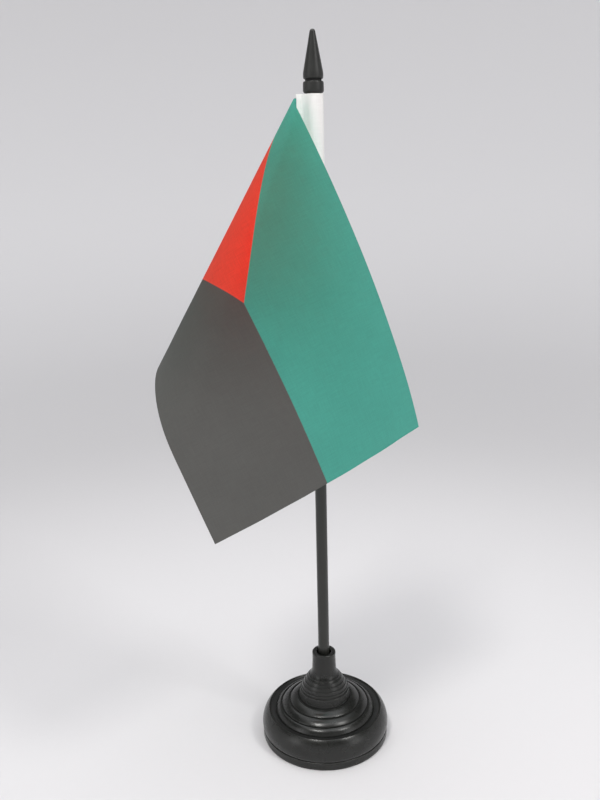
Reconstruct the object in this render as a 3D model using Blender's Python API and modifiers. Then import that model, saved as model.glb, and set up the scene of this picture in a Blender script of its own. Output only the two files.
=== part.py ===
"""Desk flag stand: a ringed plastic foot with a ballast disc, a plastic pole with a pointed finial,
and a small cloth flag whose sewn sleeve turns on the pole. Metres, +Z up, the foot's underside at z = 0
and the pole's axis at x = y = 0."""

import math

import bpy
from mathutils import Matrix, Vector

# Driving dimensions of the stand
TOTAL_HEIGHT = 0.300
FOOT_RADIUS = 0.0286
NECK_TOP = 0.0410
NECK_RADIUS = 0.0053
SOCKET_MOUTH_RADIUS = 0.0032
SOCKET_FLOOR_RADIUS = 0.0028
POLE_RADIUS = 0.00245
FINIAL_BOTTOM = 0.2775
FINIAL_RADIUS = 0.00395
FINIAL_GROOVE_RADIUS = 0.0031
FINIAL_BORE_DEPTH = 0.0080
GAP = 0.0003

# Driving dimensions of the foot's cover and of what it holds
COVER_FLOOR = 0.0016
COVER_TOP = 0.0037
COVER_RADIUS = 0.0283
SPIGOT_TOP = 0.0064
SPIGOT_RADIUS = 0.0263
SPIGOT_WALL = 0.0014
SOCKET_FLOOR = 0.0015
SOCKET_TUBE_RADIUS = 0.0044
WEIGHT_THICKNESS = 0.0035
WEIGHT_HOLE_RADIUS = 0.0062

# Driving dimensions of the flag, a rectangle when flat, and of the sleeve that it is sewn into
FLAG_LENGTH = 0.14175
FLAG_HEIGHT = 0.0945
CLOTH_DROP = 0.0015
CLOTH_THICKNESS = 0.0005
SLEEVE_TOP = FINIAL_BOTTOM - GAP
SLEEVE_WALL = 0.00035
SLEEVE_RADIUS = 0.0038
SLEEVE_LENGTH = FLAG_HEIGHT + CLOTH_DROP
TAB_REACH = 0.0064
HOIST_REACH = 0.00413
FLAG_YAW = 15.6
THREAD_RADIUS = 0.00018
THREAD_REACH = 0.0053

# The cloth's bend: straight lines fan out from near its top corner. Each runs from a point on the top edge
# to a point on the bottom edge, counted on round the fly corner and up the fly edge.
# The turn folds the cloth over to the front, mostly near its two ends, and the front then curls in a little more.
TURN_STARTS = (0.00245, 0.05186)
TURN_ENDS = (0.01248, 0.1100)
TURN_ANGLE = -161.1
TURN_LINES = 32
TURN_MIDDLE_SHARE = -1.0
TURN_SKEW = -0.556
TURN_CROWDING = (1.24, 1.20)
FRONT_LINES = 14
FRONT_ANGLE = -37.1
FRONT_SKEW = -0.24
FRONT_SHORTFALL = 0.0066
CLOTH_ROWS = 8

ROUND_STEPS = 48
SMALL_ROUND_STEPS = 36


def clear_scene():
    for obj in list(bpy.data.objects):
        bpy.data.objects.remove(obj, do_unlink=True)


def new_collection(name):
    collection = bpy.data.collections.new(name)
    bpy.context.scene.collection.children.link(collection)
    return collection


def new_material(name, colour, roughness, metallic=0.0):
    material = bpy.data.materials.new(name)
    material.use_nodes = True
    shader = material.node_tree.nodes["Principled BSDF"]
    shader.inputs["Base Color"].default_value = (*colour, 1.0)
    shader.inputs["Roughness"].default_value = roughness
    shader.inputs["Metallic"].default_value = metallic
    return material


def add_object(name, data, collection, material):
    obj = bpy.data.objects.new(name, data)
    collection.objects.link(obj)
    data.materials.append(material)
    return obj


def turned(name, profile, collection, material, steps=ROUND_STEPS):
    """A body turned about the Z axis from points (radius, height) that run down its outer side."""
    points = [(radius, 0.0, height) for radius, height in profile]
    edges = [(i, i + 1) for i in range(len(points) - 1)]
    if profile[0][0] > 0.0:
        edges.append((len(points) - 1, 0))
    mesh = bpy.data.meshes.new(name)
    mesh.from_pydata(points, edges, [])
    obj = add_object(name, mesh, collection, material)
    screw = obj.modifiers.new("Turn", "SCREW")
    screw.steps = screw.render_steps = steps
    screw.use_merge_vertices = True
    screw.merge_threshold = 0.00001
    screw.use_smooth_shade = True
    return obj


def arc(centre, radii, start, end, count):
    """Points on an ellipse arc in a profile, with angles in degrees from the +radius direction."""
    angles = [math.radians(start + (end - start) * i / (count - 1)) for i in range(count)]
    return [(centre[0] + radii[0] * math.cos(a), centre[1] + radii[1] * math.sin(a)) for a in angles]


# ---------------------------------------------------------------- foot

FLARE_RINGS = [(0.0068, 0.02945), (0.0077, 0.0284), (0.0087, 0.0269), (0.00965, 0.0254), (0.0104, 0.0239),
               (0.0109, 0.0226)]
"""Outer corner of each fine ring on the flare, from the neck down."""
FLARE_FOOT = (0.0115, 0.0189)
TREADS = [((0.0121, 0.0188), (0.01565, 0.0172)), ((0.0162, 0.0171), (0.0194, 0.0152)),
          ((0.0200, 0.0151), (0.0224, 0.0128))]
"""Inner and outer corner of each of the three rounded treads round the flare."""
RING_STEP = 0.00025
DOME_START = (0.0254, 0.0131)
DOME_CENTRE = (0.0200, 0.0063)
DOME_HEIGHT = 0.0093
DOME_LIP = (0.0281, 0.0040)


def neck_and_flare():
    """The neck's outer side, its mouth rounded, then the flare with its fine stepped rings."""
    rim = 0.0005
    points = [(SOCKET_MOUTH_RADIUS + rim, NECK_TOP)]
    points += arc((NECK_RADIUS - rim, NECK_TOP - rim), (rim, rim), 90, 0, 3)
    points += [(NECK_RADIUS - 0.0001, NECK_TOP - 0.0020), (NECK_RADIUS, 0.0345), (NECK_RADIUS + 0.0001, 0.0322)]
    points.append((NECK_RADIUS + 0.0007, 0.0305))
    for radius, height in FLARE_RINGS:
        points.append((radius, height + RING_STEP))
        points.append((radius + RING_STEP, height))
        points.append((radius + RING_STEP, height - RING_STEP))
    points.append((FLARE_FOOT[0], FLARE_FOOT[1] + 0.0012))
    points.append(FLARE_FOOT)
    return points


def treads():
    """Three convex treads, each rounding down to a small level ledge."""
    points = []
    for (inner, top), (outer, low) in TREADS:
        points += [(outer - (outer - inner) * math.cos(a), top - (top - low) * (1 - math.cos(a * 0.9)) * 1.19)
                   for a in (0.0, math.radians(40), math.radians(62), math.radians(78), math.radians(90))]
    points.append((TREADS[-1][1][0] + 0.0003, DOME_START[1] - 0.0004))
    return points


def dome():
    """The broad outer roll, from the level ledge over and down to its lip."""
    start = math.degrees(math.asin((DOME_START[0] - DOME_CENTRE[0]) / (FOOT_RADIUS - DOME_CENTRE[0])))
    points = [(DOME_START[0] - 0.0007, DOME_START[1] - 0.0004)]
    points += arc(DOME_CENTRE, (FOOT_RADIUS - DOME_CENTRE[0], DOME_HEIGHT), 90 - start, 0, 9)
    points += [(FOOT_RADIUS - 0.0001, 0.0050), DOME_LIP]
    return points


def base_shell_profile():
    """One closed outline: up the socket's bore, down the outside, and back under the shell and the socket's tube."""
    socket_bottom = COVER_FLOOR + GAP
    bore = [(0.0, socket_bottom + SOCKET_FLOOR), (SOCKET_FLOOR_RADIUS, socket_bottom + SOCKET_FLOOR),
            (SOCKET_MOUTH_RADIUS, NECK_TOP - 0.0005)]
    under = [(0.0266, DOME_LIP[1]), (0.0268, 0.0066), (0.0262, 0.0090), (0.0246, 0.0112), (0.0212, 0.0117),
             (0.0176, 0.0142), (0.0136, 0.0161), (0.0102, 0.0172), (0.0093, 0.0205), (0.0082, 0.0240),
             (0.0060, 0.0262), (SOCKET_TUBE_RADIUS + 0.0005, 0.0255)]
    tube = [(SOCKET_TUBE_RADIUS, socket_bottom), (0.0, socket_bottom)]
    return bore + neck_and_flare() + treads() + dome() + under + tube


def base_cover_profile():
    """The bottom disc: a flat underside, a visible band, and a spigot that holds it in the shell."""
    inner = SPIGOT_RADIUS - SPIGOT_WALL
    return [(0.0, COVER_FLOOR), (inner, COVER_FLOOR), (inner, SPIGOT_TOP), (SPIGOT_RADIUS - 0.0003, SPIGOT_TOP),
            (SPIGOT_RADIUS, SPIGOT_TOP - 0.0004), (SPIGOT_RADIUS, COVER_TOP), (COVER_RADIUS - 0.0003, COVER_TOP),
            (COVER_RADIUS, COVER_TOP - 0.0003), (COVER_RADIUS + 0.0001, 0.0006), (COVER_RADIUS - 0.0001, 0.0002),
            (COVER_RADIUS - 0.0004, 0.0), (0.0, 0.0)]


def base_weight_profile():
    """A flat steel ring, its edges broken, lying on the cover's floor."""
    low = COVER_FLOOR + GAP
    high = low + WEIGHT_THICKNESS
    outer = SPIGOT_RADIUS - SPIGOT_WALL - 0.0004
    edge = 0.0003
    return [(WEIGHT_HOLE_RADIUS, high), (outer - edge, high), (outer, high - edge), (outer, low + edge),
            (outer - edge, low), (WEIGHT_HOLE_RADIUS, low)]


# ---------------------------------------------------------------- pole and finial

def pole_profile():
    low = COVER_FLOOR + GAP + SOCKET_FLOOR + GAP
    high = FINIAL_BOTTOM + FINIAL_BORE_DEPTH - GAP
    edge = 0.0003
    return [(0.0, high), (POLE_RADIUS - edge, high), (POLE_RADIUS, high - edge), (POLE_RADIUS, low + edge),
            (POLE_RADIUS - edge, low), (0.0, low)]


def finial_profile():
    """A blunt cone over a groove and a collar, with a blind bore that presses onto the pole."""
    tip = 0.0011
    bore = POLE_RADIUS + GAP
    groove = 0.2821
    points = [(0.0, TOTAL_HEIGHT)]
    points += arc((0.0, TOTAL_HEIGHT - tip * 1.1), (tip, tip * 1.1), 65, 12, 4)
    points += [(FINIAL_RADIUS - 0.0001, 0.2846)]
    points += arc((FINIAL_RADIUS - 0.0006, 0.2840), (0.0006, 0.0007), 10, -70, 4)
    points += [(FINIAL_GROOVE_RADIUS, groove + 0.0004), (FINIAL_GROOVE_RADIUS, groove - 0.0004)]
    points += arc((FINIAL_RADIUS - 0.0006, 0.2806), (0.0006, 0.0006), 70, 0, 4)
    points += arc((FINIAL_RADIUS - 0.0006, FINIAL_BOTTOM + 0.0006), (0.0006, 0.0006), 0, -90, 4)
    points += [(bore, FINIAL_BOTTOM), (bore, FINIAL_BOTTOM + FINIAL_BORE_DEPTH),
               (0.0, FINIAL_BOTTOM + FINIAL_BORE_DEPTH)]
    return points


# ---------------------------------------------------------------- flag

def hoist_frame():
    """Places the flat flag: its length runs out from the pole, its height runs down."""
    yaw = math.radians(FLAG_YAW)
    out = Vector((-math.cos(yaw), -math.sin(yaw), 0.0))
    down = Vector((0.0, 0.0, -1.0))
    place = Matrix((out, down, out.cross(down))).transposed().to_4x4()
    place.translation = out * HOIST_REACH + Vector((0.0, 0.0, SLEEVE_TOP - CLOTH_DROP))
    return place


def lower_point(along):
    """A point on the flat flag's lower outline, given the distance along the bottom edge and up the fly edge."""
    if along <= FLAG_LENGTH:
        return Vector((along, FLAG_HEIGHT, 0.0))
    return Vector((FLAG_LENGTH, FLAG_HEIGHT - (along - FLAG_LENGTH), 0.0))


def bending_lines():
    """(top, low, angle) of each bending line, in order from the hoist to the fly."""
    lines = []
    for i in range(TURN_LINES):
        s = (i + 0.5) / TURN_LINES
        share = 1.0 + TURN_SKEW * (2 * s - 1) + TURN_MIDDLE_SHARE * (6 * s * (1 - s) - 1)
        top = TURN_STARTS[0] + (TURN_ENDS[0] - TURN_STARTS[0]) * s ** TURN_CROWDING[0]
        low = TURN_STARTS[1] + (TURN_ENDS[1] - TURN_STARTS[1]) * s ** TURN_CROWDING[1]
        lines.append((top, low, TURN_ANGLE * share / TURN_LINES))
    last_low = FLAG_LENGTH + FLAG_HEIGHT - FRONT_SHORTFALL
    for i in range(FRONT_LINES):
        s = (i + 0.5) / FRONT_LINES
        share = 1.0 + FRONT_SKEW * (2 * s - 1)
        top = TURN_ENDS[0] + (FLAG_LENGTH - TURN_ENDS[0]) * s
        low = TURN_ENDS[1] + (last_low - TURN_ENDS[1]) * s
        lines.append((top, low, FRONT_ANGLE * share / FRONT_LINES))
    return lines


def cloth_columns():
    """(top, low, placement) of each column of the cloth's mesh: one on the hoist, on each bending line, at the
    lower fly corner and along the last stretch of the top edge."""
    place = hoist_frame()
    columns = [(0.0, 0.0, place.copy())]
    outline = FLAG_LENGTH + FLAG_HEIGHT
    for top, low, angle in bending_lines():
        if low >= outline:
            break
        before_top, before_low, _ = columns[-1]
        if before_low < FLAG_LENGTH < low:
            share = (FLAG_LENGTH - before_low) / (low - before_low)
            columns.append((before_top + (top - before_top) * share, FLAG_LENGTH, place.copy()))
        start = Vector((top, 0.0, 0.0))
        bend = Matrix.Rotation(math.radians(angle), 4, lower_point(low) - start)
        place = place @ Matrix.Translation(start) @ bend @ Matrix.Translation(-start)
        columns.append((top, low, place.copy()))
    columns.append(((columns[-1][0] + FLAG_LENGTH) / 2, outline, place.copy()))
    return columns


def make_cloth(collection, material):
    columns = cloth_columns()
    bpy.ops.mesh.primitive_grid_add(x_subdivisions=len(columns) - 1, y_subdivisions=CLOTH_ROWS, size=1.0)
    obj = bpy.context.object
    obj.name = obj.data.name = "flag_cloth"
    for vertex in obj.data.vertices:
        top, low, place = columns[round((vertex.co.x + 0.5) * (len(columns) - 1))]
        share = 0.5 - vertex.co.y
        flat = Vector((top, 0.0, 0.0)).lerp(lower_point(low), share)
        vertex.co = place @ flat
    obj.data.materials.append(material)
    for owner in list(obj.users_collection):
        owner.objects.unlink(obj)
    collection.objects.link(obj)
    solidify = obj.modifiers.new("Thickness", "SOLIDIFY")
    solidify.thickness = CLOTH_THICKNESS
    solidify.offset = 0.0
    solidify.use_even_offset = True
    return obj


def sleeve_outline():
    """Middle line of the strip: out of the tab's front layer, round the pole and back into the rear layer."""
    radius = SLEEVE_RADIUS - SLEEVE_WALL / 2
    layer = CLOTH_THICKNESS / 2 + GAP + SLEEVE_WALL / 2
    front = [(-TAB_REACH, -layer), (-HOIST_REACH - 0.0001, -layer)]
    opening = 24.0
    loop = arc((0.0, 0.0), (radius, radius), 180 + opening, 540 - opening, 25)
    rear = [(x, -y) for x, y in reversed(front)]
    return front + loop + rear


def make_sleeve(collection, material):
    yaw = math.radians(FLAG_YAW)
    turn = Matrix.Rotation(yaw, 4, "Z")
    mesh = bpy.data.meshes.new("flag_sleeve")
    outline = [turn @ Vector((x, y, SLEEVE_TOP)) for x, y in sleeve_outline()]
    lower = [point - Vector((0.0, 0.0, SLEEVE_LENGTH)) for point in outline]
    count = len(outline)
    faces = [(i, i + 1, count + i + 1, count + i) for i in range(count - 1)]
    mesh.from_pydata(outline + lower, [], faces)
    obj = add_object("flag_sleeve", mesh, collection, material)
    solidify = obj.modifiers.new("Thickness", "SOLIDIFY")
    solidify.thickness = SLEEVE_WALL
    solidify.offset = 0.0
    solidify.use_even_offset = True
    return obj


def make_thread(name, side, collection, material):
    """One of the seam's two threads, lying along the tab's front (side -1) or rear (side 1)."""
    yaw = math.radians(FLAG_YAW)
    out = CLOTH_THICKNESS / 2 + GAP + SLEEVE_WALL + GAP + THREAD_RADIUS
    foot = Matrix.Rotation(yaw, 4, "Z") @ Vector((-THREAD_REACH, side * out, SLEEVE_TOP))
    curve = bpy.data.curves.new(name, "CURVE")
    curve.dimensions = "3D"
    curve.bevel_depth = THREAD_RADIUS
    curve.bevel_resolution = 2
    curve.use_fill_caps = True
    spline = curve.splines.new("POLY")
    spline.points.add(1)
    spline.points[0].co = (*foot, 1.0)
    spline.points[1].co = (foot.x, foot.y, foot.z - SLEEVE_LENGTH, 1.0)
    return add_object(name, curve, collection, material)


def main():
    clear_scene()
    stand = new_collection("desk_flag_stand")
    black = new_material("black_plastic", (0.035, 0.036, 0.032), 0.35)
    pole_black = new_material("pole_plastic", (0.030, 0.031, 0.029), 0.30)
    steel = new_material("ballast_steel", (0.45, 0.45, 0.46), 0.45, 1.0)
    printed = new_material("printed_cloth", (0.07, 0.36, 0.28), 0.85)
    white = new_material("white_cloth", (0.86, 0.86, 0.84), 0.85)
    thread = new_material("white_thread", (0.80, 0.80, 0.78), 0.70)
    turned("base_shell", base_shell_profile(), stand, black)
    turned("base_cover", base_cover_profile(), stand, black)
    turned("base_weight", base_weight_profile(), stand, steel)
    turned("pole", pole_profile(), stand, pole_black, SMALL_ROUND_STEPS)
    turned("finial", finial_profile(), stand, black, SMALL_ROUND_STEPS)
    make_cloth(stand, printed)
    make_sleeve(stand, white)
    make_thread("needle_thread", -1, stand, thread)
    make_thread("bobbin_thread", 1, stand, thread)


main()
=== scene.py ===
"""Desk flag stand: the finished look of each piece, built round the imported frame. Metres, +Z up."""

import math

import bpy
from mathutils import Matrix, Vector


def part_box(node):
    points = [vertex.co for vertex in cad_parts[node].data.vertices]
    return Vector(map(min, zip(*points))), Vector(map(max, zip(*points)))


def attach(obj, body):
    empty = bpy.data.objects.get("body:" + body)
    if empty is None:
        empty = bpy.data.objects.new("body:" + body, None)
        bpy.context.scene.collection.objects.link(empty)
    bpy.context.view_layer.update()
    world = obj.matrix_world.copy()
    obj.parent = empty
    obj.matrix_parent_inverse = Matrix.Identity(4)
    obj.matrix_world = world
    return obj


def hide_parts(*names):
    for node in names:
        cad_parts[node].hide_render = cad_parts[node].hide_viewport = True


bl_info = {
    "name": "Desk Flag Stand",
    "version": (1, 0, 0),
    "blender": (4, 5, 0),
    "location": "View3D > Sidebar > Flag Stand",
    "description": "Builds a small cloth flag on a plastic pole in a ringed round foot",
    "category": "Add Mesh",
}

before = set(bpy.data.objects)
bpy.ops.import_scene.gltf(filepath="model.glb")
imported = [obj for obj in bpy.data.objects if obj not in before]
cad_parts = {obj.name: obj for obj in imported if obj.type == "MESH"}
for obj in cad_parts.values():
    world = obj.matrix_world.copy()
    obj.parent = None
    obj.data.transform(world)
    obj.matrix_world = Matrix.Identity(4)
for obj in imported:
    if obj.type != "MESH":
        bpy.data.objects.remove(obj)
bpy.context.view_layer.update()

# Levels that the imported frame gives
FOOT_LOW, FOOT_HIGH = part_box("base_shell")
COVER_LOW, COVER_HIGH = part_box("base_cover")
WEIGHT_LOW, WEIGHT_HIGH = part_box("base_weight")
POLE_LOW, POLE_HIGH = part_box("pole")
FINIAL_LOW, FINIAL_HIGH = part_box("finial")
SLEEVE_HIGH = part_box("flag_sleeve")[1]

# Foot outline, radius and height of its corners
SOCKET_MOUTH_RADIUS = 0.0032
SOCKET_FLOOR_RADIUS = 0.0028
NECK_RADIUS = 0.0053
FLARE_RINGS = ((0.0068, 0.02945), (0.0077, 0.0284), (0.0087, 0.0269), (0.00965, 0.0254), (0.0104, 0.0239),
               (0.0109, 0.0226))
FLARE_FOOT = (0.0115, 0.0189)
TREADS = (((0.0121, 0.0188), (0.01565, 0.0172)), ((0.0162, 0.0171), (0.0194, 0.0152)),
          ((0.0200, 0.0151), (0.0224, 0.0128)))
RING_STEP = 0.00025
TREAD_POINTS = 9
TREAD_START_SLOPE = 0.14
GROOVE_DEPTH = 0.00060
DOME_START = (0.0254, 0.0131)
DOME_CENTRE = (0.0200, 0.0063)
DOME_HEIGHT = 0.0093
DOME_LIP = (0.0281, 0.0040)

# Flag: a rectangle when flat, bent about straight lines that fan out from near its top corner
FLAG_LENGTH = 0.14175
FLAG_HEIGHT = 0.0945
CLOTH_DROP = 0.0015
HOIST_REACH = 0.00413
FLAG_YAW = 15.6
TAB_REACH = 0.0068
TAB_LAYER = 0.00034
STRIP_THICKNESS = 0.00024
STITCH_RADIUS = 0.00013
STITCH_REACH = 0.0053
SLEEVE_RADIUS = 0.0038
SLEEVE_LENGTH = FLAG_HEIGHT + CLOTH_DROP
TURN_STARTS = (0.00245, 0.05186)
TURN_ENDS = (0.01248, 0.1100)
TURN_ANGLE = -161.1
TURN_LINES = 110
TURN_MIDDLE_SHARE = -1.0
TURN_SKEW = -0.556
TURN_CROWDING = (1.24, 1.20)
FRONT_LINES = 70
FRONT_ANGLE = -37.1
FRONT_SKEW = -0.24
FRONT_SHORTFALL = 0.0066
CLOTH_ROWS = 96

# The print, as shares of the flag's length and height: the red wedge's point, and how far its corners at the
# hoist lie from the flag's own corners
WEDGE_POINT = (0.485, 0.517)
WEDGE_INSET = 0.042

# The studio
FRONT_GLOW = 0.36
REAR_GLOW = 0.22
# Share of the paper's colour kept far from the stand, for its painted shade.
FAR_SHADE_SHARE = 0.82
BACKDROP_TONE = (0.60, 0.60, 0.62)
BELT_TONE = (0.05, 0.05, 0.055)
CEILING_TONE = (1.23, 1.25, 1.30)

LATHE_STEPS = 144
SMALL_LATHE_STEPS = 72
CORNER_POINTS = 5


# ---------------------------------------------------------------- settings

class StandSettings(bpy.types.PropertyGroup):
    """Sizes and colours of the stand that a user may change."""

    plastic_colour: bpy.props.FloatVectorProperty(
        name="Plastic colour", description="Colour of the moulded foot and finial", subtype="COLOR", size=3,
        default=(0.0098, 0.0103, 0.0090), min=0.0, max=1.0)
    plastic_grain: bpy.props.FloatProperty(
        name="Plastic grain", description="Size of the fine unevenness left by the mould", subtype="DISTANCE",
        unit="LENGTH", default=0.0006, min=0.0001, max=0.01)
    pole_radius: bpy.props.FloatProperty(
        name="Pole radius", description="Radius of the plastic pole", subtype="DISTANCE", unit="LENGTH",
        default=0.00245, min=0.001, max=0.003)
    upper_colour: bpy.props.FloatVectorProperty(
        name="Upper field", description="Colour printed on the flag's upper half", subtype="COLOR", size=3,
        default=(0.025, 0.325, 0.228), min=0.0, max=1.0)
    lower_colour: bpy.props.FloatVectorProperty(
        name="Lower field", description="Colour printed on the flag's lower half", subtype="COLOR", size=3,
        default=(0.045, 0.045, 0.040), min=0.0, max=1.0)
    wedge_colour: bpy.props.FloatVectorProperty(
        name="Wedge", description="Colour of the triangle at the hoist", subtype="COLOR", size=3,
        default=(0.96, 0.026, 0.011), min=0.0, max=1.0)
    cloth_thickness: bpy.props.FloatProperty(
        name="Cloth thickness", description="Thickness of the woven cloth", subtype="DISTANCE", unit="LENGTH",
        default=0.00018, min=0.0001, max=0.0005)
    thread_pitch: bpy.props.FloatProperty(
        name="Thread pitch", description="Distance between the cloth's threads", subtype="DISTANCE",
        unit="LENGTH", default=0.00036, min=0.0001, max=0.002)
    sleeve_colour: bpy.props.FloatVectorProperty(
        name="Sleeve colour", description="Colour of the white strip round the pole", subtype="COLOR", size=3,
        default=(0.90, 0.88, 0.86), min=0.0, max=1.0)
    stitch_length: bpy.props.FloatProperty(
        name="Stitch length", description="Length of one stitch of the seam", subtype="DISTANCE",
        unit="LENGTH", default=0.0024, min=0.001, max=0.006)
    floor_colour: bpy.props.FloatVectorProperty(
        name="Floor colour", description="Colour of the plain floor and backdrop", subtype="COLOR", size=3,
        default=(0.68, 0.67, 0.68), min=0.0, max=1.0)


def settings():
    return bpy.context.scene.flag_stand


# ---------------------------------------------------------------- node helpers

def new_material(name):
    """A new node material, its shader and its node tree."""
    material = bpy.data.materials.new(name)
    material.use_nodes = True
    tree = material.node_tree
    return material, tree.nodes["Principled BSDF"], tree


def add_node(tree, kind, inputs=None, **values):
    """A node with plain values set; inputs maps a socket's name or number to a value or an output to link."""
    node = tree.nodes.new(kind)
    for key, value in values.items():
        setattr(node, key, value)
    for key, value in (inputs or {}).items():
        if isinstance(value, bpy.types.NodeSocket):
            tree.links.new(value, node.inputs[key])
        else:
            node.inputs[key].default_value = value
    return node


def maths(tree, operation, first, second=0.0, clamp=False):
    inputs = {0: first, 1: second}
    return add_node(tree, "ShaderNodeMath", inputs, operation=operation, use_clamp=clamp).outputs[0]


def blend_colours(tree, share, first, second):
    """first where share is 0, second where it is 1."""
    node = add_node(tree, "ShaderNodeMix", data_type="RGBA")
    for number, value in ((0, share), (6, first), (7, second)):
        if isinstance(value, bpy.types.NodeSocket):
            tree.links.new(value, node.inputs[number])
        elif number:
            node.inputs[number].default_value = (*value, 1.0)
        else:
            node.inputs[number].default_value = value
    return node.outputs[2]


def ranged(tree, value, from_low, from_high, to_low, to_high, smooth=False, clamp=True):
    kind = "SMOOTHSTEP" if smooth else "LINEAR"
    inputs = {0: value, 1: from_low, 2: from_high, 3: to_low, 4: to_high}
    return add_node(tree, "ShaderNodeMapRange", inputs, interpolation_type=kind, clamp=clamp).outputs[0]


def noise(tree, place, scale, detail=2.0, roughness=0.5):
    inputs = {"Vector": place, "Scale": scale, "Detail": detail, "Roughness": roughness}
    return add_node(tree, "ShaderNodeTexNoise", inputs).outputs["Fac"]


def stretched(tree, place, scale):
    return add_node(tree, "ShaderNodeMapping", {"Vector": place, "Scale": scale}).outputs[0]


def object_place(tree):
    return add_node(tree, "ShaderNodeTexCoord").outputs["Object"]


# ---------------------------------------------------------------- materials

def moulded_plastic(name, colour, grain, gloss=0.27, drawn=False):
    """Black plastic: a faint mould grain, cloudy gloss, fine handling marks, worn rims and rougher hollows
    darkened with painted shade.
    """
    material, shader, tree = new_material(name)
    place = object_place(tree)
    rim = add_node(tree, "ShaderNodeAttribute", attribute_name="rim").outputs["Fac"]
    worn = ranged(tree, rim, 0.25, 1.0, 0.0, 1.0, smooth=True)
    hollow = ranged(tree, rim, -1.0, -0.2, 1.0, 0.0, smooth=True)
    cloud = noise(tree, stretched(tree, place, (0.3, 0.3, 0.06)) if drawn else place, 140.0, 3.0)
    speckle = noise(tree, place, 1.0 / grain, 2.0)
    along = stretched(tree, place, (1500.0, 1500.0, 5.0) if drawn else (160.0, 160.0, 2600.0))
    lines = noise(tree, along, 1.0, 2.0, 0.6)
    scuffs = ranged(tree, lines, 0.66, 0.74, 0.0, 1.0)
    light = tuple(min(1.0, part * 2.0 + 0.004) for part in colour)
    # Dim copy of the colour, painted as shade into the hollows.
    painted_hollow_shade = tuple(part * 0.4 for part in colour)
    base = blend_colours(tree, ranged(tree, cloud, 0.35, 0.65, 0.0, 0.20), colour, light)
    base = blend_colours(tree, maths(tree, "MULTIPLY", worn, 0.35), base, light)
    # Painted shade: darkens the colour where the outline turns inwards, in the grooves and hollows.
    base = blend_colours(tree, maths(tree, "MULTIPLY", hollow, 0.85), base, painted_hollow_shade)
    base = blend_colours(tree, maths(tree, "MULTIPLY", scuffs, 0.10), base, light)
    tree.links.new(base, shader.inputs["Base Color"])
    rough = ranged(tree, cloud, 0.3, 0.7, gloss - 0.03, gloss + 0.04)
    rough = maths(tree, "ADD", rough, maths(tree, "MULTIPLY", hollow, 0.35))
    rough = maths(tree, "SUBTRACT", rough, maths(tree, "MULTIPLY", worn, 0.06))
    rough = maths(tree, "ADD", rough, maths(tree, "MULTIPLY", scuffs, 0.10), clamp=True)
    tree.links.new(rough, shader.inputs["Roughness"])
    shader.inputs["IOR"].default_value = 1.45
    height = maths(tree, "ADD", maths(tree, "MULTIPLY", speckle, 0.7), maths(tree, "MULTIPLY", lines, 0.3))
    bump = add_node(tree, "ShaderNodeBump", {"Strength": 0.25, "Distance": 0.00003, "Height": height})
    tree.links.new(bump.outputs[0], shader.inputs["Normal"])
    return material


def ballast_steel():
    """Dull pressed steel with rolling lines and a little brown staining."""
    material, shader, tree = new_material("ballast_steel")
    place = object_place(tree)
    stain = noise(tree, place, 220.0, 5.0, 0.65)
    rolled = noise(tree, stretched(tree, place, (40.0, 2400.0, 40.0)), 1.0, 2.0)
    share = ranged(tree, stain, 0.52, 0.72, 0.0, 0.8)
    base = blend_colours(tree, share, (0.34, 0.34, 0.34), (0.15, 0.10, 0.07))
    tree.links.new(base, shader.inputs["Base Color"])
    shader.inputs["Metallic"].default_value = 1.0
    tree.links.new(ranged(tree, stain, 0.3, 0.7, 0.38, 0.62), shader.inputs["Roughness"])
    bump = add_node(tree, "ShaderNodeBump", {"Strength": 0.4, "Distance": 0.00005, "Height": rolled})
    tree.links.new(bump.outputs[0], shader.inputs["Normal"])
    return material


def flat_place(tree):
    """A node that gives a place on the flat cloth: along its length and down its height."""
    unrolled = add_node(tree, "ShaderNodeUVMap", uv_map="flat").outputs[0]
    return add_node(tree, "ShaderNodeSeparateXYZ", {0: unrolled})


def weave(tree, along, down, pitch):
    """Height of a plain weave at a place on the flat cloth, in metres, and a soft mottling of its threads."""
    spread = noise(tree, add_node(tree, "ShaderNodeCombineXYZ", {0: along, 1: down}).outputs[0], 900.0, 3.0)
    waver = maths(tree, "MULTIPLY", maths(tree, "SUBTRACT", spread, 0.5), pitch * 0.9)
    warp = maths(tree, "SINE", maths(tree, "MULTIPLY", maths(tree, "ADD", along, waver), math.pi / pitch))
    weft = maths(tree, "SINE", maths(tree, "MULTIPLY", maths(tree, "ADD", down, waver), math.pi / pitch))
    crossing = maths(tree, "MULTIPLY", warp, weft)
    ridges = maths(tree, "ADD", maths(tree, "ABSOLUTE", warp), maths(tree, "ABSOLUTE", weft))
    height = maths(tree, "ADD", maths(tree, "MULTIPLY", crossing, 0.5), maths(tree, "MULTIPLY", ridges, 0.35))
    flat = add_node(tree, "ShaderNodeCombineXYZ", {0: along, 1: down}).outputs[0]
    warp_slubs = noise(tree, stretched(tree, flat, (2400.0, 180.0, 1.0)), 1.0, 2.0)
    weft_slubs = noise(tree, stretched(tree, flat, (180.0, 2400.0, 1.0)), 1.0, 2.0)
    mottle = maths(tree, "ADD", warp_slubs, weft_slubs)
    return height, mottle


def thin_cloth(shader, tree, colour, translucency):
    """Lets part of the light through the cloth in a paler colour; its inner side lets everything pass."""
    paler = add_node(tree, "ShaderNodeGamma", {"Color": colour, "Gamma": 0.5}).outputs[0]
    glow = add_node(tree, "ShaderNodeBsdfTranslucent", {"Color": paler})
    mix = add_node(tree, "ShaderNodeMixShader", {0: translucency, 1: shader.outputs[0], 2: glow.outputs[0]})
    inner = add_node(tree, "ShaderNodeNewGeometry").outputs["Backfacing"]
    clear = add_node(tree, "ShaderNodeBsdfTransparent")
    sides = add_node(tree, "ShaderNodeMixShader", {0: inner, 1: mix.outputs[0], 2: clear.outputs[0]})
    tree.links.new(sides.outputs[0], tree.nodes["Material Output"].inputs["Surface"])


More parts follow.
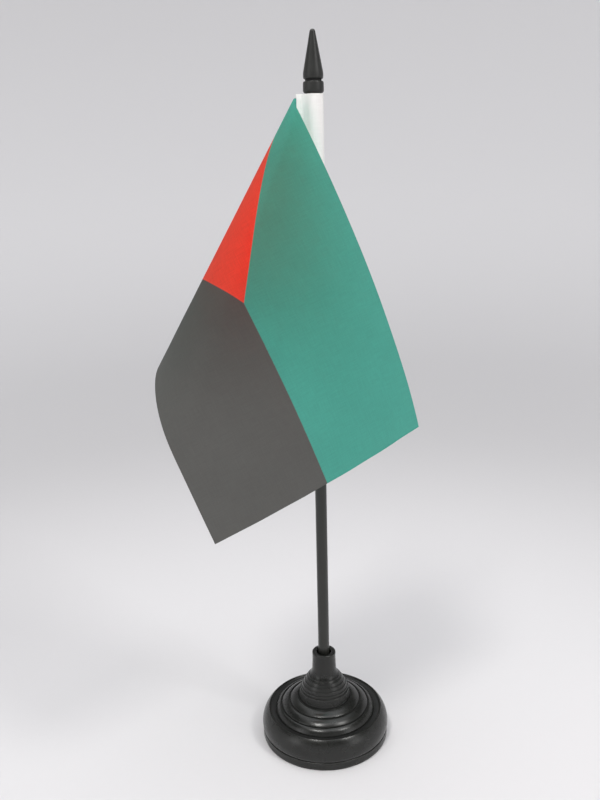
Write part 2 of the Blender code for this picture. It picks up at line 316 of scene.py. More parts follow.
def printed_cloth(sizes):
    """Thin polyester printed in three fields, its threads showing, with heat-sealed edges."""
    material, shader, tree = new_material("printed_cloth")
    shares = flat_place(tree)
    along, down = shares.outputs[0], shares.outputs[1]
    metres_along = maths(tree, "MULTIPLY", along, FLAG_LENGTH)
    metres_down = maths(tree, "MULTIPLY", down, FLAG_HEIGHT)
    height, mottle = weave(tree, metres_along, metres_down, sizes.thread_pitch)
    point_along, point_down = WEDGE_POINT
    flat = add_node(tree, "ShaderNodeCombineXYZ", {0: metres_along, 1: metres_down}).outputs[0]
    bleed = maths(tree, "MULTIPLY", maths(tree, "SUBTRACT", noise(tree, flat, 1600.0, 2.0), 0.5), 0.0025)
    above = ranged(tree, down, WEDGE_INSET, point_down, 0.0, 1.0, clamp=False)
    below = ranged(tree, down, 1.0 - WEDGE_INSET, point_down, 0.0, 1.0, clamp=False)
    reached = maths(tree, "DIVIDE", along, point_along)
    inside = maths(tree, "SUBTRACT", maths(tree, "MINIMUM", above, below), reached)
    wedge = ranged(tree, maths(tree, "ADD", inside, bleed), -0.0035, 0.0035, 0.0, 1.0, smooth=True)
    slope = (0.5 - point_down) / (1.0 - point_along)
    past_point = maths(tree, "SUBTRACT", along, point_along)
    seam = maths(tree, "ADD", maths(tree, "MULTIPLY", past_point, slope), point_down)
    lower = maths(tree, "ADD", maths(tree, "SUBTRACT", down, seam), bleed)
    lower = ranged(tree, lower, -0.0018, 0.0018, 0.0, 1.0, smooth=True)
    colour = blend_colours(tree, lower, tuple(sizes.upper_colour), tuple(sizes.lower_colour))
    colour = blend_colours(tree, wedge, colour, tuple(sizes.wedge_colour))
    broad = noise(tree, flat, 60.0, 3.0)
    tone = ranged(tree, mottle, 0.7, 1.3, 0.90, 1.10)
    tone = maths(tree, "MULTIPLY", tone, ranged(tree, broad, 0.3, 0.7, 0.96, 1.04))
    # Painted shade from the weave: darker where it sinks between the threads, lighter on the threads' crowns.
    tone = maths(tree, "MULTIPLY", tone, ranged(tree, height, 0.0, 1.0, 0.93, 1.05))
    edge = maths(tree, "MINIMUM", metres_down, maths(tree, "SUBTRACT", FLAG_HEIGHT, metres_down))
    edge = maths(tree, "MINIMUM", edge, maths(tree, "SUBTRACT", FLAG_LENGTH, metres_along))
    sealed = ranged(tree, edge, 0.0, 0.00045, 1.0, 0.0, smooth=True)
    tone = maths(tree, "MULTIPLY", tone, maths(tree, "SUBTRACT", 1.0, maths(tree, "MULTIPLY", sealed, 0.18)))
    tinted = add_node(tree, "ShaderNodeVectorMath", {0: colour, "Scale": tone}, operation="SCALE").outputs[0]
    tree.links.new(tinted, shader.inputs["Base Color"])
    rough = ranged(tree, mottle, 0.7, 1.3, 0.74, 0.90)
    rough = maths(tree, "SUBTRACT", rough, maths(tree, "MULTIPLY", sealed, 0.30))
    tree.links.new(rough, shader.inputs["Roughness"])
    shader.inputs["Sheen Weight"].default_value = 0.12
    shader.inputs["Sheen Roughness"].default_value = 0.5
    shader.inputs["IOR"].default_value = 1.40
    relief = maths(tree, "MULTIPLY", height, maths(tree, "SUBTRACT", 1.0, sealed))
    bump = add_node(tree, "ShaderNodeBump", {"Strength": 0.45, "Distance": 0.00006, "Height": relief})
    tree.links.new(bump.outputs[0], shader.inputs["Normal"])
    thin_cloth(shader, tree, tinted, 0.72)
    return material


def white_cloth(sizes):
    """White woven strip, with painted shade between its threads."""
    material, shader, tree = new_material("white_cloth")
    shares = flat_place(tree)
    height, mottle = weave(tree, shares.outputs[0], shares.outputs[1], sizes.thread_pitch)
    # Painted shade: the colour darkens where the weave sinks between the threads.
    weave_shade = ranged(tree, height, 0.0, 1.0, 0.94, 1.02)
    tone = maths(tree, "MULTIPLY", ranged(tree, mottle, 0.7, 1.3, 0.95, 1.03), weave_shade)
    white = add_node(tree, "ShaderNodeRGB")
    white.outputs[0].default_value = (*sizes.sleeve_colour, 1.0)
    inputs = {0: white.outputs[0], "Scale": tone}
    tinted = add_node(tree, "ShaderNodeVectorMath", inputs, operation="SCALE").outputs[0]
    tree.links.new(tinted, shader.inputs["Base Color"])
    tree.links.new(ranged(tree, mottle, 0.7, 1.3, 0.76, 0.92), shader.inputs["Roughness"])
    shader.inputs["Sheen Weight"].default_value = 0.10
    bump = add_node(tree, "ShaderNodeBump", {"Strength": 0.4, "Distance": 0.00006, "Height": height})
    tree.links.new(bump.outputs[0], shader.inputs["Normal"])
    thin_cloth(shader, tree, tinted, 0.12)
    return material


def white_thread():
    """Twisted sewing thread."""
    material, shader, tree = new_material("white_thread")
    place = object_place(tree)
    twist = noise(tree, stretched(tree, place, (5000.0, 5000.0, 2200.0)), 1.0, 1.0)
    share = ranged(tree, twist, 0.4, 0.6, 0.0, 1.0)
    colour = blend_colours(tree, share, (0.70, 0.70, 0.67), (0.86, 0.86, 0.84))
    tree.links.new(colour, shader.inputs["Base Color"])
    tree.links.new(ranged(tree, twist, 0.3, 0.7, 0.55, 0.75), shader.inputs["Roughness"])
    bump = add_node(tree, "ShaderNodeBump", {"Strength": 0.6, "Distance": 0.00005, "Height": twist})
    tree.links.new(bump.outputs[0], shader.inputs["Normal"])
    return material


def pale_paper(colour):
    """Plain matt backdrop paper, with painted shade that greys it away from the stand, and glowing softly
    where it rises.
    """
    material, shader, tree = new_material("pale_paper")
    place = object_place(tree)
    fibre = noise(tree, place, 300.0, 3.0)
    distance = add_node(tree, "ShaderNodeVectorMath", {0: place}, operation="LENGTH").outputs["Value"]
    # Painted shade: the paper darkens away from the stand, as the lamps' light falls off.
    far = ranged(tree, distance, 0.10, 0.50, 0.0, 1.0, smooth=True)
    toned = blend_colours(tree, far, colour, tuple(part * FAR_SHADE_SHARE for part in colour))
    toned = blend_colours(tree, maths(tree, "MULTIPLY", fibre, 0.02), toned, (0.5, 0.5, 0.5))
    tree.links.new(toned, shader.inputs["Base Color"])
    tree.links.new(ranged(tree, fibre, 0.3, 0.7, 0.85, 0.95), shader.inputs["Roughness"])
    shader.inputs["Emission Color"].default_value = (1.0, 0.99, 1.0, 1.0)
    depth = add_node(tree, "ShaderNodeSeparateXYZ", {0: place}).outputs[1]
    glow = ranged(tree, depth, -1.0, 1.0, FRONT_GLOW, REAR_GLOW)
    rise = ranged(tree, distance, 0.35, 1.6, 0.0, 1.0, smooth=True)
    tree.links.new(maths(tree, "MULTIPLY", rise, glow), shader.inputs["Emission Strength"])
    return material


# ---------------------------------------------------------------- modelling helpers

def deselect_all():
    if bpy.context.mode != "OBJECT":
        bpy.ops.object.mode_set(mode="OBJECT")
    bpy.ops.object.select_all(action="DESELECT")


def apply_modifiers(piece):
    bpy.context.view_layer.objects.active = piece
    for modifier in list(piece.modifiers):
        bpy.ops.object.modifier_apply(modifier=modifier.name)


def finish_piece(piece, material, body, nodes):
    """Gives a finished piece its material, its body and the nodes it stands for."""
    piece.data.materials.clear()
    piece.data.materials.append(material)
    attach(piece, body)
    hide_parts(*nodes)
    return piece


def arc(centre, radii, start, end, count):
    """Points on an ellipse arc of an outline, with angles in degrees from the +radius direction."""
    angles = [math.radians(start + (end - start) * i / (count - 1)) for i in range(count)]
    return [(centre[0] + radii[0] * math.cos(a), centre[1] + radii[1] * math.sin(a)) for a in angles]


def eased(corners, looped):
    """An outline with each corner (radius, height, easing) rounded off over that length of both its sides."""
    points = []
    count = len(corners)
    for i, corner in enumerate(corners):
        here = Vector(corner[:2])
        easing = corner[2] if len(corner) > 2 else 0.0
        if easing <= 0.0 or (not looped and i in (0, count - 1)):
            points.append(tuple(here))
            continue
        before = Vector(corners[i - 1][:2]) - here
        after = Vector(corners[(i + 1) % count][:2]) - here
        start = here + before.normalized() * min(easing, before.length * 0.45)
        end = here + after.normalized() * min(easing, after.length * 0.45)
        for step in range(CORNER_POINTS):
            s = step / (CORNER_POINTS - 1)
            points.append(tuple(start.lerp(here, s).lerp(here.lerp(end, s), s)))
    return points


def mark_rims(piece, outline, looped):
    """Stores on each point how far the outline turns outwards (1) or inwards (-1) near it."""
    count = len(outline)
    bends = []
    for i in range(count):
        if not looped and i in (0, count - 1):
            bends.append(0.0)
            continue
        before = Vector(outline[i]) - Vector(outline[i - 1])
        after = Vector(outline[(i + 1) % count]) - Vector(outline[i])
        bends.append(0.0 if before.length < 1e-9 or after.length < 1e-9 else before.angle_signed(after))
    attribute = piece.data.attributes.new("rim", "FLOAT", "POINT")
    spots = [Vector(point) for point in outline]
    known = {}
    for vertex in piece.data.vertices:
        place = (round(math.hypot(vertex.co.x, vertex.co.y), 6), round(vertex.co.z, 6))
        if place not in known:
            here = Vector(place)
            near = sum(b * max(0.0, 1.0 - (spot - here).length / 0.0005) for spot, b in zip(spots, bends))
            known[place] = max(-1.0, min(1.0, near / 0.9))
        attribute.data[vertex.index].value = known[place]


def turn_on_lathe(name, corners, steps, looped):
    """Extrudes one point along the outline and spins it round the pole's axis."""
    outline = eased(corners, looped)
    deselect_all()
    bpy.ops.mesh.primitive_plane_add(size=0.001, location=(0.0, 0.0, 0.0))
    piece = bpy.context.object
    piece.name = piece.data.name = name
    bpy.ops.object.mode_set(mode="EDIT")
    bpy.ops.mesh.select_mode(type="VERT")
    bpy.ops.mesh.select_all(action="SELECT")
    bpy.ops.mesh.merge(type="CENTER")
    bpy.ops.transform.translate(value=(outline[0][0], 0.0, outline[0][1]))
    at = Vector(outline[0])
    for point in outline[1:] + ([outline[0]] if looped else []):
        step = Vector(point) - at
        bpy.ops.mesh.extrude_region_move(TRANSFORM_OT_translate={"value": (step.x, 0.0, step.y)})
        at = Vector(point)
    bpy.ops.mesh.select_all(action="SELECT")
    bpy.ops.mesh.remove_doubles(threshold=0.000002)
    bpy.ops.mesh.select_all(action="SELECT")
    bpy.ops.mesh.spin(steps=steps, angle=math.tau, center=(0.0, 0.0, 0.0), axis=(0.0, 0.0, 1.0))
    bpy.ops.mesh.select_all(action="SELECT")
    bpy.ops.mesh.remove_doubles(threshold=0.000003)
    bpy.ops.mesh.normals_make_consistent(inside=False)
    bpy.ops.object.mode_set(mode="OBJECT")
    mark_rims(piece, outline, looped)
    bpy.ops.object.shade_smooth_by_angle(angle=math.radians(50.0))
    return piece


# ---------------------------------------------------------------- foot

def shell_corners():
    """The shell's closed outline: up the socket, down the outside, back under it and round its tube."""
    tube_low = FOOT_LOW.z
    high = FOOT_HIGH.z
    start = math.degrees(math.asin((DOME_START[0] - DOME_CENTRE[0]) / (FOOT_HIGH.x - DOME_CENTRE[0])))
    corners = [(0.0, tube_low + 0.0015), (SOCKET_FLOOR_RADIUS, tube_low + 0.0015),
               (SOCKET_MOUTH_RADIUS, high - 0.0006, 0.0003), (SOCKET_MOUTH_RADIUS + 0.0003, high, 0.0004),
               (NECK_RADIUS, high, 0.0007), (NECK_RADIUS - 0.00015, high - 0.0024, 0.0008),
               (NECK_RADIUS, 0.0345, 0.0010), (NECK_RADIUS + 0.0001, 0.0322, 0.0010),
               (NECK_RADIUS + 0.0007, 0.0305, 0.0006)]
    for radius, height in FLARE_RINGS:
        corners.append((radius - 0.00020, height + 0.00032, 0.00005))
        corners.append((radius - 0.00022, height + 0.00010, 0.00003))
        corners.append((radius + 0.00010, height + 0.00008, 0.00005))
        corners.append((radius + RING_STEP, height - RING_STEP, 0.00012))
    corners.append((FLARE_FOOT[0] - 0.0001, FLARE_FOOT[1] + 0.0014, 0.0006))
    corners.append((FLARE_FOOT[0] + 0.0001, FLARE_FOOT[1] - 0.0004, 0.00008))
    for (inner, top), (outer, low) in TREADS:
        corners.append((inner - 0.00010, corners[-1][1], 0.00005))
        corners.append((inner, top, 0.00015))
        for i in range(1, TREAD_POINTS):
            s = i / TREAD_POINTS
            fall = TREAD_START_SLOPE * s + (1.0 - TREAD_START_SLOPE) * s * s
            corners.append((inner + (outer - inner) * s, top - (top - low) * fall, 0.0002))
        corners.append((outer, low, 0.00020))
        corners.append((outer + 0.00005, low - GROOVE_DEPTH, 0.00005))
    corners.append((DOME_START[0] - 0.0006, DOME_START[1] - 0.0005, 0.0003))
    corners += [(*point, 0.0006) for point in arc(DOME_CENTRE, (FOOT_HIGH.x - DOME_CENTRE[0], DOME_HEIGHT),
                                                  90.0 - start, 0.0, 15)]
    corners += [(FOOT_HIGH.x - 0.0001, 0.0050, 0.0003), (DOME_LIP[0] + 0.0001, DOME_LIP[1], 0.0002)]
    corners += [(0.0266, DOME_LIP[1], 0.0002), (0.0268, 0.0066, 0.0006), (0.0262, 0.0090, 0.0008),
                (0.0246, 0.0112, 0.0008), (0.0212, 0.0117, 0.0008), (0.0176, 0.0142, 0.0008),
                (0.0136, 0.0161, 0.0008), (0.0102, 0.0172, 0.0006), (0.0093, 0.0205, 0.0006),
                (0.0082, 0.0240, 0.0006), (0.0060, 0.0262, 0.0004), (0.0049, 0.0255, 0.0004),
                (0.0044, tube_low, 0.0002), (0.0, tube_low)]
    return corners


def cover_corners():
    """The bottom disc: flat underside, visible band, and the spigot that holds it in the shell."""
    low, high = COVER_LOW.z, COVER_HIGH.z
    floor, shoulder, spigot, inner, band = 0.0016, 0.0037, 0.0263, 0.0249, COVER_HIGH.x
    return [(0.0, floor), (inner, floor, 0.0003), (inner, high, 0.0003), (spigot, high, 0.0004),
            (spigot, shoulder, 0.0002), (band - 0.0001, shoulder, 0.00035), (band, 0.0012, 0.0004),
            (band - 0.0002, low + 0.0002, 0.0003), (band - 0.0006, low, 0.0003), (0.0, low)]


def weight_corners():
    low, high = WEIGHT_LOW.z, WEIGHT_HIGH.z
    hole, outer = 0.0062, WEIGHT_HIGH.x
    return [(hole, high, 0.0003), (outer, high, 0.0004), (outer, low, 0.0004), (hole, low, 0.0003)]


class FLAGSTAND_OT_foot(bpy.types.Operator):
    """Turn the foot's shell, its bottom cover and the ballast ring between them"""

    bl_idname = "flagstand.foot"
    bl_label = "Foot"

    def execute(self, context):
        sizes = settings()
        plastic = moulded_plastic("foot_plastic", tuple(sizes.plastic_colour), sizes.plastic_grain)
        shell = turn_on_lathe("foot_shell", shell_corners(), LATHE_STEPS, False)
        finish_piece(shell, plastic, "foot", ["base_shell"])
        cover = turn_on_lathe("foot_cover", cover_corners(), LATHE_STEPS, False)
        finish_piece(cover, plastic, "foot", ["base_cover"])
        weight = turn_on_lathe("foot_weight", weight_corners(), LATHE_STEPS, True)
        finish_piece(weight, ballast_steel(), "foot", ["base_weight"])
        return {"FINISHED"}


# ---------------------------------------------------------------- pole and finial

class FLAGSTAND_OT_pole(bpy.types.Operator):
    """Turn the straight pole, its two ends chamfered"""

    bl_idname = "flagstand.pole"
    bl_label = "Pole"

    def execute(self, context):
        sizes = settings()
        radius, low, high = sizes.pole_radius, POLE_LOW.z, POLE_HIGH.z
        corners = [(0.0, high), (radius - 0.0003, high, 0.00015), (radius, high - 0.0003, 0.00015),
                   (radius, low + 0.0003, 0.00015), (radius - 0.0003, low, 0.00015), (0.0, low)]
        pole = turn_on_lathe("flag_pole", corners, SMALL_LATHE_STEPS, False)
        colour = tuple(part * 1.9 for part in sizes.plastic_colour)
        plastic = moulded_plastic("pole_plastic", colour, sizes.plastic_grain, 0.32, drawn=True)
        finish_piece(pole, plastic, "pole", ["pole"])
        return {"FINISHED"}


def finial_corners():
    """A blunt cone over a groove and a collar, with the blind bore that presses onto the pole."""
    low, high, side = FINIAL_LOW.z, FINIAL_HIGH.z, FINIAL_HIGH.x
    tip, bore, groove, groove_radius = 0.0011, 0.00275, 0.2821, 0.0031
    corners = [(0.0, high)]
    corners += [(*point, 0.0001) for point in arc((0.0, high - tip * 1.1), (tip, tip * 1.1), 72, 8, 7)]
    corners += [(side - 0.0001, groove + 0.0024, 0.0010), (side - 0.0002, groove + 0.0006, 0.0003),
                (groove_radius, groove + 0.0003, 0.0001), (groove_radius, groove - 0.0003, 0.0001),
                (side - 0.0001, groove - 0.0005, 0.0003), (side, groove - 0.0016, 0.0005),
                (side, low + 0.0006, 0.0004), (side - 0.0005, low, 0.0003), (bore, low, 0.0002),
                (bore, low + 0.0080), (0.0, low + 0.0080)]
    return corners


class FLAGSTAND_OT_finial(bpy.types.Operator):
    """Turn the pointed finial"""

    bl_idname = "flagstand.finial"
    bl_label = "Finial"

    def execute(self, context):
        sizes = settings()
        finial = turn_on_lathe("pole_finial", finial_corners(), SMALL_LATHE_STEPS, False)
        plastic = moulded_plastic("finial_plastic", tuple(sizes.plastic_colour), sizes.plastic_grain, 0.36)
        finish_piece(finial, plastic, "finial", ["finial"])
        return {"FINISHED"}


# ---------------------------------------------------------------- flag

def hoist_frame():
    """Places the flat flag: its length runs out from the pole, its height runs down."""
    yaw = math.radians(FLAG_YAW)
    out = Vector((-math.cos(yaw), -math.sin(yaw), 0.0))
    down = Vector((0.0, 0.0, -1.0))
    place = Matrix((out, down, out.cross(down))).transposed().to_4x4()
    place.translation = out * HOIST_REACH + Vector((0.0, 0.0, SLEEVE_HIGH.z - CLOTH_DROP))
    return place


def lower_point(along):
    """A point on the flat flag's lower outline, by the distance along the bottom edge and up the fly edge."""
    if along <= FLAG_LENGTH:
        return Vector((along, FLAG_HEIGHT, 0.0))
    return Vector((FLAG_LENGTH, FLAG_HEIGHT - (along - FLAG_LENGTH), 0.0))


def bending_lines():
    """(top, low, angle) of each bending line, in order from the hoist to the fly."""
    lines = []
    for i in range(TURN_LINES):
        s = (i + 0.5) / TURN_LINES
        share = 1.0 + TURN_SKEW * (2 * s - 1) + TURN_MIDDLE_SHARE * (6 * s * (1 - s) - 1)
        top = TURN_STARTS[0] + (TURN_ENDS[0] - TURN_STARTS[0]) * s ** TURN_CROWDING[0]
        low = TURN_STARTS[1] + (TURN_ENDS[1] - TURN_STARTS[1]) * s ** TURN_CROWDING[1]
        lines.append((top, low, TURN_ANGLE * share / TURN_LINES))
    last_low = FLAG_LENGTH + FLAG_HEIGHT - FRONT_SHORTFALL
    for i in range(FRONT_LINES):
        s = (i + 0.5) / FRONT_LINES
        share = 1.0 + FRONT_SKEW * (2 * s - 1)
        top = TURN_ENDS[0] + (FLAG_LENGTH - TURN_ENDS[0]) * s
        low = TURN_ENDS[1] + (last_low - TURN_ENDS[1]) * s
        lines.append((top, low, FRONT_ANGLE * share / FRONT_LINES))
    return lines


def cloth_columns():
    """(top, low, placement) of each column of the cloth: on the hoist, over the rear panel, on each bending
    line, at the lower fly corner and along the last stretch of the top edge."""
    place = hoist_frame()
    rear_columns = 24
    first_top, first_low, _ = bending_lines()[0]
    columns = [(first_top * i / rear_columns, first_low * i / rear_columns, place.copy())
               for i in range(rear_columns)]
    outline = FLAG_LENGTH + FLAG_HEIGHT
    for top, low, angle in bending_lines():
        if low >= outline:
            break
        before_top, before_low, _ = columns[-1]
        if before_low < FLAG_LENGTH < low:
            share = (FLAG_LENGTH - before_low) / (low - before_low)
            columns.append((before_top + (top - before_top) * share, FLAG_LENGTH, place.copy()))
        start = Vector((top, 0.0, 0.0))
        bend = Matrix.Rotation(math.radians(angle), 4, lower_point(low) - start)
        place = place @ Matrix.Translation(start) @ bend @ Matrix.Translation(-start)
        columns.append((top, low, place.copy()))
    columns.append(((columns[-1][0] + FLAG_LENGTH) / 2, outline, place.copy()))
    return columns


def slack(flat):
    """How far the cloth stands off its smooth bend: long soft waves that grow towards the free edges."""
    along, down = flat.x / FLAG_LENGTH, flat.y / FLAG_HEIGHT
    free = max(0.0, along - 0.12) ** 1.5
    wave = 0.00030 * math.sin(7.0 * along + 4.0 * down) + 0.00016 * math.sin(19.0 * along - 9.0 * down + 1.0)
    return free * wave + free * 0.00012 * math.sin(31.0 * down + 11.0 * along)


class FLAGSTAND_OT_cloth(bpy.types.Operator):
    """Bend the flat flag over its fold and give the cloth its thickness"""

    bl_idname = "flagstand.cloth"
    bl_label = "Flag cloth"

    def execute(self, context):
        sizes = settings()
        columns = cloth_columns()
        deselect_all()
        bpy.ops.mesh.primitive_grid_add(x_subdivisions=len(columns) - 1, y_subdivisions=CLOTH_ROWS, size=1.0)
        cloth = bpy.context.object
        cloth.name = cloth.data.name = "flag_cloth_printed"
        flats = []
        for vertex in cloth.data.vertices:
            top, low, place = columns[round((vertex.co.x + 0.5) * (len(columns) - 1))]
            flat = Vector((top, 0.0, 0.0)).lerp(lower_point(low), 0.5 - vertex.co.y)
            flats.append(flat)
            vertex.co = place @ (flat + Vector((0.0, 0.0, slack(flat))))
        layer = cloth.data.uv_layers[0]
        layer.name = "flat"
        for loop in cloth.data.loops:
            flat = flats[loop.vertex_index]
            layer.data[loop.index].uv = (flat.x / FLAG_LENGTH, flat.y / FLAG_HEIGHT)
        solidify = cloth.modifiers.new("Thickness", "SOLIDIFY")
        solidify.thickness = sizes.cloth_thickness
        solidify.offset = 0.0
        solidify.use_even_offset = True
        apply_modifiers(cloth)
        bpy.ops.object.shade_smooth_by_angle(angle=math.radians(60.0))
        finish_piece(cloth, printed_cloth(sizes), "flag", ["flag_cloth"])
        return {"FINISHED"}


def strip_outline():
    """Middle line of the strip from above: from the tab's front, round the pole and back along its rear."""
    layer, reach = TAB_LAYER, TAB_REACH
    radius = SLEEVE_RADIUS - 0.00015
    neck = [(-reach, -layer), (-0.0056, -layer), (-0.0049, -layer - 0.00003), (-0.0043, -layer - 0.0002),
            (-0.0038, -layer - 0.00055)]
    loop = [(radius * 0.985 * math.cos(a), radius * math.sin(a))
            for a in (math.radians(180 + 28 + 304 * i / 40) for i in range(41))]
    rear = [(x, -y) for x, y in reversed(neck)]
    return neck + loop + rear


class FLAGSTAND_OT_sleeve(bpy.types.Operator):
    """Fold the white strip round the pole and over the flag's hoist edge"""

    bl_idname = "flagstand.sleeve"
    bl_label = "Sleeve"

    def execute(self, context):
        sizes = settings()
        outline = [Vector((x, y, 0.0)) for x, y in strip_outline()]
        lengths = [0.0]
        for before, after in zip(outline, outline[1:]):
            lengths.append(lengths[-1] + (after - before).length)
        rows = 64
        deselect_all()
        bpy.ops.mesh.primitive_grid_add(x_subdivisions=len(outline) - 1, y_subdivisions=rows, size=1.0)
        sleeve = bpy.context.object
        sleeve.name = sleeve.data.name = "flag_sleeve_strip"
        turn = Matrix.Rotation(math.radians(FLAG_YAW), 4, "Z")
        flats = []
        for vertex in sleeve.data.vertices:
            number = round((vertex.co.x + 0.5) * (len(outline) - 1))
            down = (0.5 - vertex.co.y) * SLEEVE_LENGTH
            point = outline[number]
            flats.append((lengths[number], down))
            turned = math.atan2(point.y, -point.x)
            loose = 0.0
            if abs(turned) > 0.6:
                loose = 0.5 - 0.5 * math.cos(min(math.pi, abs(math.pi - abs(turned)) * 1.3))
            swell = 1.0 - 0.020 * loose * (1.0 + math.sin(95.0 * down + 1.7 * turned))
            vertex.co = turn @ Vector((point.x * swell, point.y * swell, SLEEVE_HIGH.z - down))
        layer = sleeve.data.uv_layers[0]
        layer.name = "flat"
        for loop in sleeve.data.loops:
            layer.data[loop.index].uv = flats[loop.vertex_index]
        solidify = sleeve.modifiers.new("Thickness", "SOLIDIFY")
        solidify.thickness = STRIP_THICKNESS
        solidify.offset = 0.0
        solidify.use_even_offset = True
        apply_modifiers(sleeve)
        bpy.ops.object.shade_smooth_by_angle(angle=math.radians(60.0))
        finish_piece(sleeve, white_cloth(sizes), "flag", ["flag_sleeve"])
        return {"FINISHED"}


def stitch_row(name, side, thread, node):
    """A row of stitches down one face of the tab, each a short thread whose ends dip into the cloth."""
    sizes = settings()
    pitch, radius = sizes.stitch_length, STITCH_RADIUS
    count = round((SLEEVE_LENGTH - 0.002) / pitch)
    deselect_all()
    bpy.ops.mesh.primitive_uv_sphere_add(segments=10, ring_count=12, radius=radius)
    stitch = bpy.context.object
    bpy.ops.object.mode_set(mode="EDIT")
    bpy.ops.mesh.select_all(action="SELECT")
    bpy.ops.transform.resize(value=(1.0, 1.0, pitch * 0.46 / radius))
    bpy.ops.object.mode_set(mode="OBJECT")
    for vertex in stitch.data.vertices:
        vertex.co.y -= side * 0.00018 * (vertex.co.z / (pitch * 0.46)) ** 2
    turn = Matrix.Rotation(math.radians(FLAG_YAW), 4, "Z")
    face = TAB_LAYER + STRIP_THICKNESS / 2 + radius * 0.6
    copies = []
    for i in range(count):
        copy = stitch.copy()
        copy.data = stitch.data.copy()
        bpy.context.collection.objects.link(copy)
        height = SLEEVE_HIGH.z - 0.001 - pitch * (i + 0.5)
        copy.data.transform(turn @ Matrix.Translation((-STITCH_REACH, side * face, height)))
        copies.append(copy)
    bpy.data.objects.remove(stitch, do_unlink=True)
    deselect_all()
    for copy in copies:
        copy.select_set(True)
    bpy.context.view_layer.objects.active = copies[0]
    bpy.ops.object.join()
    row = bpy.context.object
    row.name = row.data.name = name
    bpy.ops.object.shade_smooth_by_angle(angle=math.radians(60.0))
    return finish_piece(row, thread, "flag", [node])


class FLAGSTAND_OT_stitches(bpy.types.Operator):
    """Sew the sleeve to the flag: a row of stitches on each face of the tab"""

    bl_idname = "flagstand.stitches"
    bl_label = "Stitches"

    def execute(self, context):
        thread = white_thread()
        stitch_row("needle_stitches", -1, thread, "needle_thread")
        stitch_row("bobbin_stitches", 1, thread, "bobbin_thread")
        return {"FINISHED"}


# ---------------------------------------------------------------- stage

def add_lamp(name, place, target, size, power, colour=(1.0, 1.0, 1.0)):
    data = bpy.data.lights.new(name, "AREA")
    data.shape = "RECTANGLE"
    data.size, data.size_y = size
    data.energy = power
    data.color = colour
    lamp = bpy.data.objects.new(name, data)
    bpy.context.scene.collection.objects.link(lamp)
    lamp.location = place
    lamp.rotation_euler = (Vector(target) - Vector(place)).to_track_quat("-Z", "Y").to_euler()
    return lamp


def studio_world():
    """A soft pale ceiling over a dim belt, with the backdrop's own tone below it."""
    world = bpy.data.worlds.new("studio")
    world.use_nodes = True
    tree = world.node_tree
    direction = add_node(tree, "ShaderNodeTexCoord").outputs["Generated"]
    height = add_node(tree, "ShaderNodeSeparateXYZ", {0: direction}).outputs[2]
    belt = ranged(tree, height, 0.42, 0.50, 0.0, 1.0, smooth=True)
    ceiling = ranged(tree, height, 0.78, 0.92, 0.0, 1.0, smooth=True)
    colour = blend_colours(tree, belt, BACKDROP_TONE, BELT_TONE)
    colour = blend_colours(tree, ceiling, colour, CEILING_TONE)
    tree.links.new(colour, tree.nodes["Background"].inputs["Color"])
    return world


def add_camera():
    """Stands in front of the stand, above it, looking down at it."""
    yaw, pitch, roll = 0.0273, -0.2649, -0.0248
    ahead = Vector((-math.sin(yaw) * math.cos(pitch), math.cos(yaw) * math.cos(pitch), math.sin(pitch)))
    right = Vector((math.cos(yaw), math.sin(yaw), 0.0))
    up = right.cross(ahead)
    across = right * math.cos(roll) + up * math.sin(roll)
    upright = up * math.cos(roll) - right * math.sin(roll)
    data = bpy.data.cameras.new("camera")
    data.lens = 37.52
    data.clip_start, data.clip_end = 0.01, 20.0
    camera = bpy.data.objects.new("camera", data)
    bpy.context.scene.collection.objects.link(camera)
    place = Matrix((across, upright, -ahead)).transposed().to_4x4()
    place.translation = Vector((0.0011575, -0.33292, 0.24841))
    camera.matrix_world = place
    bpy.context.scene.camera = camera


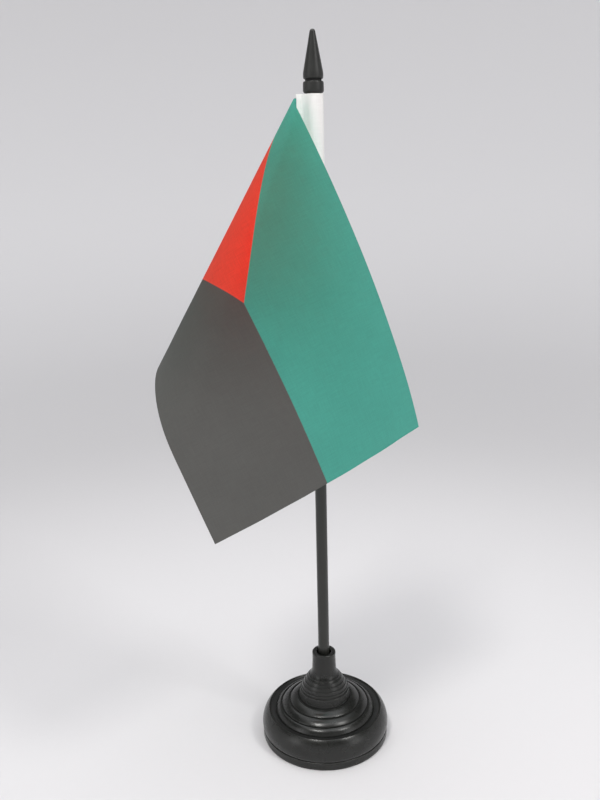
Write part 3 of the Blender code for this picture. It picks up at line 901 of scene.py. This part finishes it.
class FLAGSTAND_OT_stage(bpy.types.Operator):
    """Lay out the plain floor with its curved rim, the soft lights and the camera"""

    bl_idname = "flagstand.stage"
    bl_label = "Stage"

    def execute(self, context):
        sizes = settings()
        floor_level = COVER_LOW.z
        reach, curve = 0.8, 1.6
        sweep = [(0.0, floor_level), (reach, floor_level)]
        sweep += arc((reach, floor_level + curve), (curve, curve), -88, -14, 25)
        floor = turn_on_lathe("floor", sweep, LATHE_STEPS, False)
        deselect_all()
        floor.select_set(True)
        bpy.context.view_layer.objects.active = floor
        bpy.ops.object.mode_set(mode="EDIT")
        bpy.ops.mesh.select_all(action="SELECT")
        bpy.ops.mesh.flip_normals()
        bpy.ops.object.mode_set(mode="OBJECT")
        floor.data.materials.append(pale_paper(tuple(sizes.floor_colour)))
        context.scene.world = studio_world()
        add_lamp("key_lamp", (-0.32, -0.68, 1.30), (0.0, 0.0, 0.05), (0.30, 0.24), 7.0, (1.0, 0.98, 0.95))
        add_lamp("fill_lamp", (0.64, -0.47, 1.03), (0.0, 0.0, 0.05), (0.26, 0.20), 4.0, (1.0, 0.99, 0.97))
        for side in (-1, 1):
            add_lamp("side_lamp", (side * 1.15, -0.80, 0.70), (0.0, 0.0, 0.15), (0.5, 0.9), 2.2)
        add_lamp("top_lamp", (0.0, -0.15, 0.95), (0.0, 0.0, 0.0), (0.9, 0.8), 2.3)
        add_lamp("back_lamp", (-0.5, 0.95, 1.45), (0.0, 0.0, 0.15), (0.9, 0.6), 1.8, (0.97, 0.99, 1.0))
        context.scene.view_settings.view_transform = "Standard"
        add_camera()
        return {"FINISHED"}


# ---------------------------------------------------------------- panel and main

BUILD_STEPS = ("foot", "pole", "finial", "sleeve", "cloth", "stitches", "stage")


class FLAGSTAND_PT_panel(bpy.types.Panel):
    """Sizes, colours and building steps of the flag stand"""

    bl_idname = "FLAGSTAND_PT_panel"
    bl_label = "Flag Stand"
    bl_space_type = "VIEW_3D"
    bl_region_type = "UI"
    bl_category = "Flag Stand"

    def draw(self, context):
        sizes = settings()
        for name in StandSettings.__annotations__:
            self.layout.prop(sizes, name)
        for step in BUILD_STEPS:
            self.layout.operator("flagstand." + step)


CLASSES = (StandSettings, FLAGSTAND_OT_foot, FLAGSTAND_OT_pole, FLAGSTAND_OT_finial, FLAGSTAND_OT_sleeve,
           FLAGSTAND_OT_cloth, FLAGSTAND_OT_stitches, FLAGSTAND_OT_stage, FLAGSTAND_PT_panel)


def register():
    for item in CLASSES:
        bpy.utils.register_class(item)
    bpy.types.Scene.flag_stand = bpy.props.PointerProperty(type=StandSettings)


def unregister():
    del bpy.types.Scene.flag_stand
    for item in reversed(CLASSES):
        bpy.utils.unregister_class(item)


def main():
    register()
    for step in BUILD_STEPS:
        getattr(bpy.ops.flagstand, step)()


if __name__ == "__main__":
    main()
